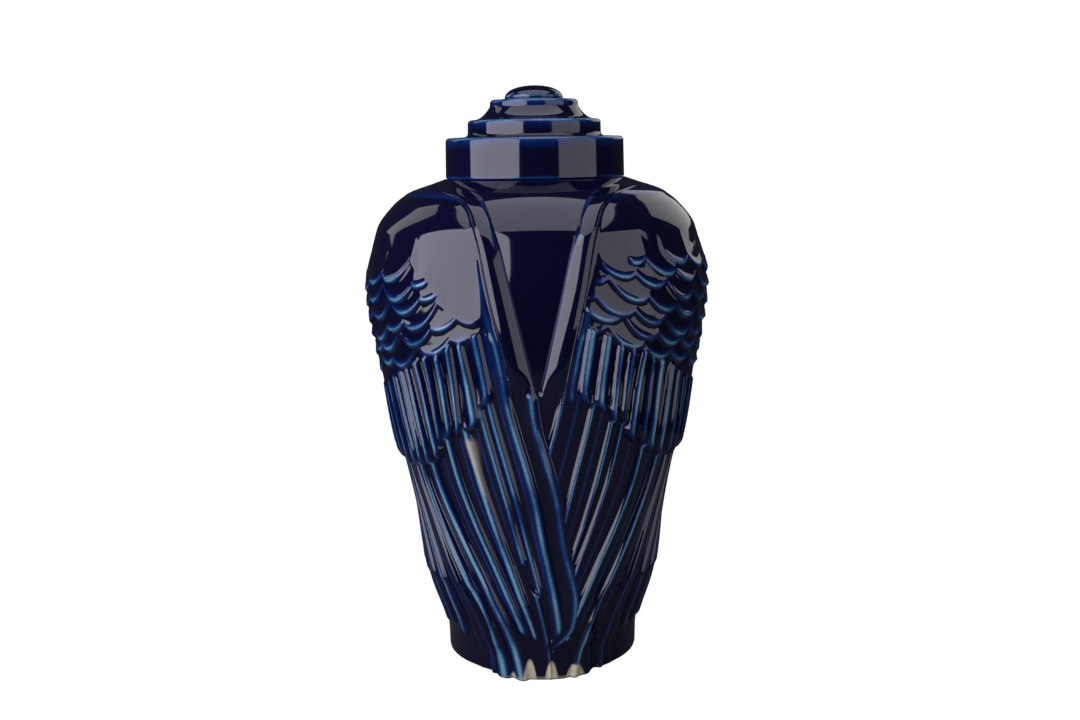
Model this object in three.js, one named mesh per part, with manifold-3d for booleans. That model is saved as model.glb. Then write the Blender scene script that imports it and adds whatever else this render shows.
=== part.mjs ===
// Funeral urn: a hollow glazed vessel wrapped by two folded wings, with a stepped lift-off lid.
// Millimetres, +Z up, front towards -Y, origin at the middle of the underside.
import * as THREE from 'three';
import { mergeVertices } from 'three/addons/utils/BufferGeometryUtils.js';
import Module from 'manifold-3d';

const wasm = await Module();
wasm.setup();

// Body sizes
const BODY_H = 252.6;
const FOOT_R = 50.9;
const BELLY_R = 85.4;
const WALL = 6;
const FLOOR = 8;

// Lid sizes, and how it sits in the mouth
const COLLAR_R = 46.5;
const COLLAR_H = 20.9;
const SEAT_LIP = 1.2;
const SEAT_GAP = 0.3;
const MOUTH_R = 38;
const FLANGE_CLEARANCE = 1;
const FLANGE_DEPTH = 10;
const FLANGE_WALL = 4.5;
const TIER_R = 34.6;
const TIER_H = 8.8;
const COVE_H = 6.6;
const COVE_R = 30.4;
const CROWN_R = 22.9;
const CROWN_H = 3.6;
const KNOB_R = 15.1;
const KNOB_H = 7.2;
const KNOB_STEP = 0.9;
const LID_WALL = 6;
const EDGE_ROUND = 1.8;

// Thickness of the wings above the plain body
const BAND_THICK = 3;
const LOBE_THICK = 3.7;
const COVERT_THICK = 4;
const COVERT_RIDGE = 1.5;
const SCALE_THICK = 3.2;
const SCALE_STEP = 1.2;
const PRIMARY_THICK = 1.5;
const PRIMARY_RIDGE = 1.5;
const TIP_THICK = 0.5;
const OVERLAP_THICK = 3.4;
const TOE_THICK = 3.6;

// Carving of the wings: angles in degrees from the front, heights as shares of the body height
const V_FOOT = 0.61;
const OVERLAP_TOP = 0.555;
const V_TOP = 0.978;
const V_GAP = 0.5;
const V_SPREAD = 14;
const V_FLARE = 9.5;
const LOBE_INSET = 10;
const LOBE_SPREAD = 12;
const LOBE_FLARE = 14;
const LOBE_BACK = 80;
const WING_BACK = 150;
const OVERLAP_START = 9.3;
const SWEEP_TOP = 0.416;
const SWEEP_FRONT = 14;
const SWEEP_SIDE = 38;
const SWEEP_FULL = 50;
const SWEEP_FADE = 80;
const CURL_TOP = 0.206;
const CURL_END = 0.024;
const CURL = 8;
const OVERLAP_RUN = 1.2;
const COVERED_PITCH = 0.5;
const LEAN = 9;
const LEAN_START = 0.396;
const LEAN_END = 0.594;
const TOE_HALF = 27;
const LOW_RIDGES_FRONT = 45;
const LOW_RIDGES_END = 60;
const STEP_FRONT = 30;

// Lower edges of the feather groups
const TIP_LINE = 0.066;
const PRIMARY_LINE = 0.188;
const COVERT_LINE = 0.443;
const COVERT_RISE = 0.139;
const SCALE_LINE = 0.772;
const SCALE_SLANT = 0.00253;
const SHOULDER_LINE = 0.862;
const SCALE_ROWS = 5;
const SCALLOP = 0.011;
const STEP_RUN = 0.0035;

// Feather columns of one wing, from the front edge to the back
const FRONT_START = 9;
const FRONT_PITCH = 3.2;
const FRONT_COLUMNS = 26;
const BACK_COLUMNS = 8;
const REAR_COLUMNS = 5;
const BACK_RUN = 1.5;
const BAND_SPLIT = [0, 0.35, 0.75];
const PANEL_RUN = 1.3;
const SHAFTS = [1, 3, 5, 9, 12, 16, 19, 24, 27, 30, 32, 34, 36];
const BAND_COLUMNS = 3;
const SCALE_PERIOD = 4;

// Facet counts of the round shapes
const CAVITY_SIDES = 36;
const LID_SIDES = 32;
const ARC_STEPS = 2;
const TIER_ARC = 70;
const CROWN_ARC = 80;
const DOME_STEPS = 5;

const DEG = Math.PI / 180;
const clamp = (x) => Math.min(1, Math.max(0, x));
const mix = (a, b, t) => a + (b - a) * t;

function smooth(a, b, x) {
  const t = clamp((x - a) / (b - a));
  return t * t * (3 - 2 * t);
}

// Plain body outline: [share of the height, radius]
const SEAT_R = COLLAR_R + SEAT_LIP;
const OUTLINE = [
  [0, FOOT_R],
  [0.045, FOOT_R + 0.3],
  [0.18, BELLY_R * 0.703],
  [0.32, BELLY_R * 0.752],
  [0.44, BELLY_R * 0.823],
  [0.6, BELLY_R * 0.918],
  [0.79, BELLY_R],
  [0.9, BELLY_R * 0.937],
  [0.95, BELLY_R * 0.83],
  [0.982, mix(SEAT_R, BELLY_R, 0.3)],
  [1, SEAT_R],
];

// Slopes that keep the outline free of overshoot
function slopes(points) {
  const rise = [];
  for (let i = 0; i + 1 < points.length; i++) {
    rise.push((points[i + 1][1] - points[i][1]) / (points[i + 1][0] - points[i][0]));
  }
  const out = [rise[0]];
  for (let i = 1; i < rise.length; i++) {
    const together = rise[i - 1] * rise[i] > 0;
    out.push(together ? (2 * rise[i - 1] * rise[i]) / (rise[i - 1] + rise[i]) : 0);
  }
  out.push(rise[rise.length - 1]);
  return out;
}

const OUTLINE_SLOPES = slopes(OUTLINE);

// Radius of the plain body at height z
function bodyRadius(z) {
  const s = clamp(z / BODY_H);
  let i = 0;
  while (i + 2 < OUTLINE.length && OUTLINE[i + 1][0] < s) i++;
  const [s0, r0] = OUTLINE[i];
  const [s1, r1] = OUTLINE[i + 1];
  const h = s1 - s0;
  const t = (s - s0) / h;
  const a = OUTLINE_SLOPES[i] * h;
  const b = OUTLINE_SLOPES[i + 1] * h;
  const t2 = t * t;
  const t3 = t2 * t;
  return (2 * t3 - 3 * t2 + 1) * r0 + (t3 - 2 * t2 + t) * a + (3 * t2 - 2 * t3) * r1 + (t3 - t2) * b;
}

// How far up the V between the wings a height lies, from 0 at its point to 1 at the neck
const alongV = (s) => clamp((s - V_FOOT) / (V_TOP - V_FOOT));

// Half angle of the bare V panel
function panelEdge(s) {
  const t = alongV(s);
  return V_GAP + V_SPREAD * t + V_FLARE * t ** 8;
}

// Inner line of the shoulder lobe, beside the leading band
function lobeEdge(s) {
  const t = alongV(s);
  return LOBE_INSET + LOBE_SPREAD * t ** 1.2 + LOBE_FLARE * t ** 10;
}

// Share of the forward sweep that a long feather has reached at a height
function sweep(s) {
  const t = clamp((SWEEP_TOP - s) / SWEEP_TOP);
  return 0.5 * Math.sin((t * Math.PI) / 2) ** 2 + 0.5 * t + 0.05 * Math.sin(t * Math.PI);
}

// Angle of the feather line that starts at angle u, in one wing's own sense
function featherAngle(u, s) {
  const most = mix(SWEEP_FRONT, SWEEP_SIDE, smooth(0, SWEEP_FULL, u));
  const reach = most * (1 - smooth(SWEEP_FADE, WING_BACK, u));
  const curl = CURL * smooth(CURL_TOP, CURL_END, s) * Math.max(0, -u / OVERLAP_START);
  const lean = LEAN * Math.max(0, 1 - u / SWEEP_FULL) * clamp((s - LEAN_START) / (LEAN_END - LEAN_START));
  const spread = (lobeEdge(s) - LOBE_INSET) * (1 - smooth(FRONT_START, LOBE_BACK, u));
  return u - reach * sweep(s) + curl + lean + spread;
}

// Angle where the left wing's edge lies over the right wing
const overlapAngle = (s) => -featherAngle(-OVERLAP_START, s);

// Starting angle of each column of a wing
function columnStart(c) {
  if (c <= BAND_COLUMNS) return -OVERLAP_START + (OVERLAP_START * c) / BAND_COLUMNS;
  if (c === BAND_COLUMNS + 1) return FRONT_START / 2;
  const k = c - BAND_COLUMNS - 2;
  if (k < FRONT_COLUMNS) return FRONT_START + FRONT_PITCH * k;
  const last = FRONT_START + FRONT_PITCH * (FRONT_COLUMNS - 1);
  const t = (k - FRONT_COLUMNS + 1) / BACK_COLUMNS;
  return t <= 1 ? mix(last, WING_BACK, t) : WING_BACK + BACK_RUN;
}

const WING_COLUMNS = BAND_COLUMNS + 2 + FRONT_COLUMNS + BACK_COLUMNS;

// Angle of a wing column at a height, outward from the front
function columnAngle(c, s, side) {
  let angle = featherAngle(columnStart(c), s);
  if (c < BAND_COLUMNS) {
    const inner = panelEdge(s);
    const upper = mix(inner, lobeEdge(s), BAND_SPLIT[c]);
    angle = mix(angle, upper, smooth(OVERLAP_TOP, OVERLAP_TOP + 0.07, s));
  }
  const covered = overlapAngle(s) + OVERLAP_RUN + COVERED_PITCH * c;
  const under = 1 - smooth(OVERLAP_TOP + 0.02, V_FOOT, s);
  if (side > 0 && angle < covered) angle = mix(angle, covered, under);
  return angle;
}

// Lower edge of the long coverts, and of the scales above them
const covertEdge = (a) => COVERT_LINE + COVERT_RISE * (1 - smooth(12, 56, a));
const scaleEdge = (a) => Math.max(SCALE_LINE - SCALE_SLANT * a, COVERT_LINE + 0.14);

// Ridge height of a column in the long feathers: full on its shaft, falling to the next one
function shaftHeight(c) {
  let k = 0;
  while (k + 1 < SHAFTS.length && SHAFTS[k + 1] <= c) k++;
  if (c < SHAFTS[0]) return 0.5;
  if (SHAFTS[k] === c) return 1;
  const next = k + 1 < SHAFTS.length ? SHAFTS[k + 1] : WING_COLUMNS;
  return (0.6 * (next - 1 - c)) / Math.max(1, next - 1 - SHAFTS[k]);
}

const covertHeight = (c) => (c > BAND_COLUMNS && (c - BAND_COLUMNS) % 2 === 1 ? 1 : 0);

// Wave of a scale row across the columns, from -1 at a tip to 1 between two tips
function scaleWave(c, row) {
  const phase = (c + (row % 2) * (SCALE_PERIOD / 2)) / SCALE_PERIOD;
  return -Math.cos(phase * 2 * Math.PI);
}

// The front of the long feathers stands proud of the foot
function toe(angle, s) {
  return TOE_THICK * (1 - smooth(TOE_HALF - 6, TOE_HALF + 5, Math.abs(angle))) * (1 - smooth(0.06, 0.3, s));
}

// Thickness of the smooth parts of a wing: the leading band, its valley and the lobe
function plainThickness(c) {
  if (c === 0) return BAND_THICK;
  if (c === 1) return BAND_THICK + 0.5;
  if (c === 2) return BAND_THICK - 0.2;
  if (c === BAND_COLUMNS) return BAND_THICK - 0.4;
  return LOBE_THICK;
}

const fadeTop = (s) => 1 - smooth(0.93, 0.985, s);
const inLobe = (c) => c > BAND_COLUMNS;

function primaryThickness(c, s, side) {
  const over = side < 0 && c < BAND_COLUMNS ? OVERLAP_THICK - PRIMARY_THICK : 0;
  const tucked = over * (1 - smooth(OVERLAP_TOP, V_FOOT, s)) * smooth(TIP_LINE, PRIMARY_LINE, s);
  return PRIMARY_THICK + PRIMARY_RIDGE * shaftHeight(c) + tucked;
}

// The rows of the carved grid. Each gives its height share and its thickness for a column.
function makeRows() {
  const rows = [];
  const low = (c, s, side) => TIP_THICK + PRIMARY_RIDGE * shaftHeight(c) * frontOnly(columnStart(c));
  const mid = (c, s, side) => {
    const step = smooth(STEP_FRONT, LOW_RIDGES_END, columnStart(c)) * (PRIMARY_THICK - TIP_THICK);
    return primaryThickness(c, s, side) - step;
  };
  rows.push({ at: () => 0, thick: low });
  rows.push({ at: () => TIP_LINE * 0.7, thick: low });
  rows.push({ at: () => TIP_LINE, thick: low });
  rows.push({ at: () => TIP_LINE + STEP_RUN, thick: mid });
  rows.push({ at: () => mix(TIP_LINE, PRIMARY_LINE, 0.36), thick: mid });
  rows.push({ at: () => mix(TIP_LINE, PRIMARY_LINE, 0.68), thick: mid });
  rows.push({ at: () => PRIMARY_LINE, thick: mid });
  const steps = 7;
  for (let i = 0; i <= steps; i++) {
    const at = (a, c) => mix(PRIMARY_LINE + STEP_RUN, covertFoot(a, c) - 0.008, i / steps);
    rows.push({ at, thick: primaryThickness });
  }
  const covertRows = 4;
  for (let i = 0; i <= covertRows; i++) {
    const at = (a, c) => mix(covertFoot(a, c), scaleFoot(a, c, 0) - STEP_RUN, i / covertRows);
    const lift = mix(COVERT_THICK, COVERT_THICK - 1, i / covertRows);
    rows.push({ at, thick: (c) => featherOr(c, lift + COVERT_RIDGE * covertHeight(c)) });
  }
  for (let k = 0; k < SCALE_ROWS; k++) {
    const tip = (a, c) => scaleFoot(a, c, k);
    rows.push({ at: tip, thick: (c) => featherOr(c, SCALE_THICK + SCALE_STEP) });
    const root = (a, c) => scaleFoot(a, c, k + 1) - STEP_RUN;
    rows.push({ at: root, thick: (c) => featherOr(c, SCALE_THICK) });
  }
  for (const s of [0.89, 0.92, 0.945, 0.963, 0.977, 0.99, 1]) {
    rows.push({ at: () => s, thick: (c, at) => plainThickness(c) * fadeTop(at) });
  }
  return rows;
}

// Front feathers keep their ridges down to the foot, side feathers end above it
const frontOnly = (u) => 1 - smooth(LOW_RIDGES_FRONT, LOW_RIDGES_END, u);
const featherOr = (c, thick) => (inLobe(c) ? thick : plainThickness(c));
const covertFoot = (a, c) => covertEdge(a) + SCALLOP * (0.5 - covertHeight(c)) * (inLobe(c) ? 1 : 0);

function scaleFoot(a, c, k) {
  const from = scaleEdge(a);
  const wave = inLobe(c) && k < SCALE_ROWS ? scaleWave(c, k) : 0;
  return mix(from, SHOULDER_LINE, k / SCALE_ROWS) + SCALLOP * wave;
}

const ROWS = makeRows();

// A point of the carved surface: radius, angle and height
function wingPoint(c, row, side) {
  let s = row.at(40, c);
  let angle = columnAngle(c, s, side);
  for (let n = 0; n < 6; n++) {
    s = row.at(Math.max(12, Math.abs(angle)), c);
    angle = columnAngle(c, s, side);
  }
  const onWing = columnStart(c) <= WING_BACK ? 1 : 0;
  const thick = row.thick(c, s, side) * onWing + toe(angle, s);
  return { s, angle: angle * side, thick };
}

// The ring of points of one row, once round the body
function ringOf(row) {
  const left = [];
  const right = [];
  for (let c = 0; c <= WING_COLUMNS; c++) {
    left.push(wingPoint(c, row, -1));
    right.push(wingPoint(c, row, 1));
  }
  const ring = [...left].reverse();
  const width = right[0].angle - left[0].angle;
  const run = Math.min(PANEL_RUN / width, 0.25);
  for (const t of [run, 0.5, 1 - run]) {
    const s = mix(left[0].s, right[0].s, t);
    const angle = left[0].angle + width * t;
    ring.push({ s, angle, thick: toe(angle, s) + PRIMARY_THICK * (1 - smooth(OVERLAP_TOP, V_FOOT, s)) });
  }
  ring.push(...right);
  const turn = 360 - 2 * (WING_BACK + BACK_RUN);
  for (let i = 1; i < REAR_COLUMNS; i++) {
    const s = mix(right[WING_COLUMNS].s, left[WING_COLUMNS].s, i / REAR_COLUMNS);
    ring.push({ s, angle: WING_BACK + BACK_RUN + (turn * i) / REAR_COLUMNS, thick: 0 });
  }
  return ring.map(({ s, angle, thick }) => {
    const z = s * BODY_H;
    const r = bodyRadius(z) + thick * (s < 1 ? 1 : 0);
    return [r * Math.sin(angle * DEG), -r * Math.cos(angle * DEG), z];
  });
}

// A closed solid between stacked rings, with flat ends
function solidOfRings(rings) {
  const n = rings[0].length;
  const points = rings.flat();
  const faces = [];
  for (let j = 0; j + 1 < rings.length; j++) {
    for (let i = 0; i < n; i++) {
      const a = j * n + i;
      const b = j * n + ((i + 1) % n);
      const shorter = span(points[a], points[b + n]) <= span(points[b], points[a + n]);
      if (shorter) faces.push(a, b, b + n, a, b + n, a + n);
      else faces.push(a, b, a + n, b, b + n, a + n);
    }
  }
  const foot = points.push([0, 0, rings[0][0][2]]) - 1;
  const head = points.push([0, 0, rings[rings.length - 1][0][2]]) - 1;
  const top = (rings.length - 1) * n;
  for (let i = 0; i < n; i++) {
    const next = (i + 1) % n;
    faces.push(foot, next, i);
    faces.push(head, top + i, top + next);
  }
  return new wasm.Manifold(
    new wasm.Mesh({
      numProp: 3,
      vertProperties: new Float32Array(points.flat()),
      triVerts: new Uint32Array(faces),
    }),
  );
}

const span = (p, q) => Math.hypot(p[0] - q[0], p[1] - q[1], p[2] - q[2]);

// A solid turned about the upright axis from [radius, height] points that start and end on it
function turned(profile, sides) {
  const lathe = new THREE.LatheGeometry(profile.map(([r, z]) => new THREE.Vector2(r, z)), sides);
  lathe.rotateX(Math.PI / 2);
  lathe.deleteAttribute('normal');
  lathe.deleteAttribute('uv');
  return mergeVertices(lathe, 1e-4);
}

function toManifold(geometry) {
  return new wasm.Manifold(
    new wasm.Mesh({
      numProp: 3,
      vertProperties: geometry.attributes.position.array,
      triVerts: new Uint32Array(geometry.index.array),
    }),
  );
}

function toGeometry(solid) {
  const mesh = solid.getMesh();
  const geometry = new THREE.BufferGeometry();
  geometry.setAttribute('position', new THREE.BufferAttribute(mesh.vertProperties, 3));
  geometry.setIndex(new THREE.BufferAttribute(mesh.triVerts, 1));
  geometry.computeVertexNormals();
  return geometry;
}

// A point of the inner wall, one wall thickness inside the plain outline
function innerPoint(z) {
  const d = 0.5;
  const dr = (bodyRadius(z + d) - bodyRadius(z - d)) / (2 * d);
  const n = Math.hypot(1, dr);
  return [bodyRadius(z) - WALL / n, z + (WALL * dr) / n];
}

// The hollow of the body, with the mouth that opens it upwards
function cavityProfile() {
  const corner = innerPoint(FLOOR + WALL);
  const profile = [[0, FLOOR], [corner[0] - WALL, FLOOR], [corner[0] - WALL * 0.3, FLOOR + WALL * 0.3]];
  for (const s of [0.06, 0.12, 0.19, 0.3, 0.4, 0.5, 0.62, 0.74, 0.83, 0.9, 0.94, 0.965, 0.982]) {
    const [r, z] = innerPoint(s * BODY_H);
    if (r > MOUTH_R + 1) profile.push([r, z]);
  }
  profile.push([MOUTH_R, BODY_H - WALL]);
  profile.push([MOUTH_R, BODY_H + WALL]);
  profile.push([0, BODY_H + WALL]);
  return profile;
}

function makeBody() {
  const shell = solidOfRings(ROWS.map(ringOf));
  const cavity = toManifold(turned(cavityProfile(), CAVITY_SIDES));
  return toGeometry(shell.subtract(cavity));
}

// Points of a quarter round from one direction to another, about a centre
function quarter(r, z, radius, from, to) {
  const points = [];
  for (let i = 0; i <= ARC_STEPS; i++) {
    const a = mix(from, to, i / ARC_STEPS) * DEG;
    points.push([r + radius * Math.cos(a), z + radius * Math.sin(a)]);
  }
  return points;
}

// Heights of the lid's steps
const LID_Z = BODY_H + SEAT_GAP;
const LEDGE_Z = LID_Z + COLLAR_H;
const TIER_Z = LEDGE_Z + TIER_H;
const CROWN_Z = TIER_Z + COVE_H;
const CROWN_TOP = CROWN_Z + CROWN_H;
const KNOB_TOP = CROWN_TOP + KNOB_H;
const FLANGE_R = MOUTH_R - FLANGE_CLEARANCE;
const FLANGE_Z = LID_Z - FLANGE_DEPTH;

// The hollow under the lid, followed from the axis down to the flange
function lidHollow() {
  const bore = FLANGE_R - FLANGE_WALL;
  return [
    [0, CROWN_TOP - LID_WALL],
    [CROWN_R - LID_WALL, CROWN_TOP - LID_WALL - 1],
    [CROWN_R - LID_WALL, CROWN_Z - LID_WALL / 2],
    [TIER_R - LID_WALL, TIER_Z - LID_WALL],
    [TIER_R - LID_WALL, LEDGE_Z - LID_WALL + 2],
    [COLLAR_R - LID_WALL - 2, LEDGE_Z - LID_WALL],
    [COLLAR_R - LID_WALL, LEDGE_Z - LID_WALL - 2],
    [COLLAR_R - LID_WALL, LID_Z + LID_WALL + 2],
    [bore, LID_Z + LID_WALL * 0.6],
    [bore, FLANGE_Z],
  ];
}

// The lid's outside, followed from the flange up to the knob
function lidOutside() {
  const e = EDGE_ROUND;
  const points = [
    [FLANGE_R, FLANGE_Z],
    [FLANGE_R, LID_Z],
    [COLLAR_R - 0.8, LID_Z],
    [COLLAR_R, LID_Z + 0.8],
    ...quarter(COLLAR_R - e, LEDGE_Z - e, e, 0, 90),
    [TIER_R + 2, LEDGE_Z + 0.3],
    [TIER_R, LEDGE_Z + 1.8],
    ...quarter(TIER_R - e, TIER_Z - e, e, 0, TIER_ARC),
    [COVE_R, TIER_Z + COVE_H * 0.06],
    [mix(COVE_R, CROWN_R, 0.55), TIER_Z + COVE_H * 0.36],
    [mix(COVE_R, CROWN_R, 0.87), TIER_Z + COVE_H * 0.72],
    [CROWN_R, CROWN_Z],
    ...quarter(CROWN_R - e, CROWN_TOP - e, e, 0, CROWN_ARC),
    [KNOB_R - 0.2, CROWN_TOP + 0.2],
  ];
  for (let i = 0; i < DOME_STEPS; i++) {
    const a = ((90 * i) / DOME_STEPS) * DEG;
    points.push([KNOB_R * Math.cos(a), CROWN_TOP + KNOB_STEP + (KNOB_H - KNOB_STEP) * Math.sin(a)]);
  }
  points.push([0, KNOB_TOP]);
  return points;
}

function makeLid() {
  return turned([...lidHollow(), ...lidOutside()], LID_SIDES);
}

const glaze = new THREE.MeshStandardMaterial({ color: 0x10163f, roughness: 0.12, metalness: 0 });
const lidGlaze = new THREE.MeshStandardMaterial({ color: 0x141b4c, roughness: 0.1, metalness: 0 });

const body = new THREE.Mesh(makeBody(), glaze);
body.name = 'urn_body';

const lid = new THREE.Mesh(makeLid(), lidGlaze);
lid.name = 'lid';

const group = new THREE.Group();
group.add(body, lid);

export default group;
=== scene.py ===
"""Glazed funeral urn: a hollow body wrapped by two folded wings, with a stepped lid.

Lengths in this script are millimetres and angles are degrees. A mesh is written in metres.
Angles run round the upright axis from the front, positive to the right of someone facing it.
A span is a pair of values: where a form starts to show and where it is whole.
A hump is a pair too: the place of a round crest and its half width.
"""

import math

import bpy
import numpy as np
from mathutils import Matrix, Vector
from mathutils.geometry import delaunay_2d_cdt


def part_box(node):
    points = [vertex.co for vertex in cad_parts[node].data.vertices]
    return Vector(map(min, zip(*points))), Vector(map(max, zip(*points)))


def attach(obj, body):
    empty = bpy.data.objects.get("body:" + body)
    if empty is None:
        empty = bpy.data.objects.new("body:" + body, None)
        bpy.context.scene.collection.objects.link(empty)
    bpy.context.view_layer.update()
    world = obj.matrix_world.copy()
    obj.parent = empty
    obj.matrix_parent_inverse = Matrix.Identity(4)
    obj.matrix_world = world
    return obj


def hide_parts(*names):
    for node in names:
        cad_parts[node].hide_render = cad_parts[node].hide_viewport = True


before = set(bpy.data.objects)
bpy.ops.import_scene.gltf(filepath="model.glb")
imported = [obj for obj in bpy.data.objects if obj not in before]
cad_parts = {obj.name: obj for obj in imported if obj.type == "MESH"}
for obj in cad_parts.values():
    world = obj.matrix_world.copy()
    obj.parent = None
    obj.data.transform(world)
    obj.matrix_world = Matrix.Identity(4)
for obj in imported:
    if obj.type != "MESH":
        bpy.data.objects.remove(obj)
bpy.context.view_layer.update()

MM = 0.001
DEG = math.pi / 180

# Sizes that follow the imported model
body_low, body_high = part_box("urn_body")
lid_low, lid_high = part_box("lid")
BODY_H = body_high[2] / MM
LID_TOP = lid_high[2] / MM
COLLAR_R = lid_high[0] / MM

# Body sizes
FOOT_R = 50.9
BELLY_R = 85.4
WALL = 6.0
FLOOR = 8.0
FLOOR_CORNER = 1.5
SEAT_R = COLLAR_R + 1.2
MOUTH_R = 38.0
MOUTH_BEVEL = 0.9

# Bevels of the body: inset and height from its lower or upper end
FOOT_BEVEL = [(0.8, 0.0), (0.15, 0.35)]
SEAT_BEVEL = [(-0.1, 0.25), (0.7, 0.0)]

# Lid sizes: its steps from the seat upwards
LID_Z = BODY_H + 0.3
FLANGE_R = MOUTH_R - 1.0
FLANGE_WALL = 4.5
FLANGE_DEPTH = 10.0
LEDGE_Z = LID_Z + 20.9
TIER_R = 34.6
TIER_Z = LEDGE_Z + 8.8
COVE_R = 30.4
COVE_H = 6.6
CROWN_R = 22.9
CROWN_Z = TIER_Z + COVE_H
CROWN_TOP = CROWN_Z + 3.6
KNOB_R = 15.1
KNOB_STEP = 0.9

# Rounded edges of the lid, its slight slopes and the step between a line and a round
COLLAR_FOOT = 0.9
COLLAR_ROUND = 2.0
COLLAR_LEAN = 0.3
LEDGE_INSET = 2.6
TIER_FILLET = 2.0
TIER_ROUND = 1.9
CROWN_ROUND = 1.8
KNOB_GROOVE = 0.5
SEAM = 0.1
COVE_FOOT = 1.2
COVE_LIFT = 0.15
COVE_POINTS = 18
COVE_IN = 0.72
COVE_UP = 1.5
KNOB_POINTS = 24
KNOB_ROUND = 0.92

# Plain outline of the body: share of the height, radius
OUTLINE = [
    (0.0, FOOT_R),
    (0.045, FOOT_R + 0.3),
    (0.18, BELLY_R * 0.703),
    (0.32, BELLY_R * 0.752),
    (0.44, BELLY_R * 0.823),
    (0.6, BELLY_R * 0.918),
    (0.79, BELLY_R),
    (0.9, BELLY_R * 0.937),
    (0.95, BELLY_R * 0.83),
    (0.982, SEAT_R + 0.3 * (BELLY_R - SEAT_R)),
    (1.0, SEAT_R),
]

# Heights of the carving as shares of the body height
V_FOOT = 0.61
V_TOP = 0.978
V_MOST = 1.06
SWEEP_TOP = 0.416
SWEEP_SOFT = 0.09
TIP_LINE = 0.066
PRIMARY_LINE = 0.188
COVERT_LINE = 0.443
COVERT_RISE = 0.139
SCALE_LINE = 0.772
SCALE_LOWEST = COVERT_LINE + 0.14
SCALE_SLANT = 0.00253
SHOULDER_LINE = 0.862
LOBE_TOP = 0.968
BAND_SPAN = (0.56, 0.66)
LOBE_CREST_FOOT = (0.575, 0.6)
LOBE_CREST_TOP = (0.79, 0.7)
SEAT_SPAN = (0.994, 0.972)
SEAT_PALE_SPAN = (0.99, 0.97)

# Angles of the carving
OVERLAP_START = 9.3
CENTRE_FOOT = 5.0
LOBE_FOOT = 10.0
LOBE_START = 9.0
LOBE_BACK = 80.0
WING_BACK = 150.0
COVERT_SPAN = (12, 56)
SIDE_SPAN = (42, 62)

# Edges of the V panel and of the lobe beside it: angle and power of the share of the V's height
PANEL_TERMS = [(0.5, 0), (14.0, 1), (9.5, 8), (4.0, 60)]
LOBE_TERMS = [(LOBE_FOOT, 0), (12, 1.2), (10, 10), (12, 40)]

# Forward sweep of the feathers: most degrees at the front and at the side, where it holds and where it fades
FRONT_SWEEP = 14.0
SIDE_SWEEP = 38.0
SWEEP_EASE = 0.5
SWEEP_BULGE = 0.05
SWEEP_SPAN = (0, 50)
SWEEP_FADE = (80, WING_BACK)
HELD_Z = 36
HELD_SOFT = 16
HELD_SPAN = (58, 72)
CURL = 8.0
CURL_SPAN = (52, 6)
LEAN = 9.0
LEAN_END = 50
LEAN_SPAN = (88, 162)
TURN_MOST = 2.0

# The left wing's edge over the right wing
OVERLAP_SHIFT = 1.3
OVERLAP_SPAN = (130, 154)
OVERLAP_FOOT = (13.0, 29.0)
OVERLAP_BEND = 0.7
V_JOIN = (149, 156)
UNDER_V = (156, 151)
MARGIN_THICK = 3.0
MARGIN_ROUND = 4.2
MARGIN_ROLL = 1.7
MARGIN_SPAN = (9.0, 5.0)
MARGIN_FOOT = (13, 22)
MARGIN_INSET = (2.2, 4.2)
MARGIN_INSET_SPAN = (30, 75)
MARGIN_CREST_HALF = 1.3
MARGIN_CREST = 0.7
MARGIN_SKIRT = 2.6
MARGIN_PALE = 0.75
LIP_HUMP = (0.9, 0.5)
LIP_SPAN = (26, 40)
LIP_RISE = 0.3
LIP_PALE = 0.45
UNDER_ROUND = 1.3
DIP_SPAN = (0.8, 3.6)

# Wings at their back edges and at the lid
BACK_HUMP = (2.4, 1.2)
BACK_RISE = 0.3
BACK_PALE = 0.6
BACK_SPAN = (16, 24)
EDGE_ROUND = 2.4
SEAT_THICK = -0.3
SUNK = -0.9
SKIN_DEPTH = 1.6

# Leading band: a roll that climbs away from the V, with a fine rim
BAND_THICK = 0.8
BAND_RISE = 4.2
BAND_FALL = 1.5
BAND_CREST = 0.66
BAND_BEND = 1.5
BAND_HUMP = (1.0, 0.14)
BAND_PALE = 0.3
RIM_HUMP = (1.2, 0.6)
RIM_RISE = 0.25
RIM_PALE = 0.4

# Shoulder lobe: a round arch with a crest beside the band and a faint wave
LOBE_THICK = 3.9
LOBE_ROUND = 7.0
LOBE_ROLL = 2.3
LOBE_CORNER = 3.0
LOBE_FAR = (-30, 60)
LOBE_TOP_SLOPE = 2.0
LOBE_SPAN = (-0.8, 1.2)
LOBE_HUMP = (2.4, 2.4)
LOBE_PALE = 0.42
LOBE_PALE_START = (0.0, 1.5)
LOBE_SIDE_PALE = 0.5
LOBE_SIDE_SPAN = (30, 70)
LOBE_CREST_HUMP = (1.8, 1.3)
LOBE_CREST_PALE = 0.7
LOBE_CREST_RISE = 0.7
SMOOTH_SPAN = (-0.6, 0.6)
SMOOTH_SLOPE = 0.8
SMOOTH_LEAST = 14.0
SMOOTH_FRONT = 16
SMOOTH_FRONT_SPAN = (178, 190)
WAVE = 0.28
WAVE_A = (0.21, 0.11)
WAVE_B = (0.09, -0.17, 2)

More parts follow.
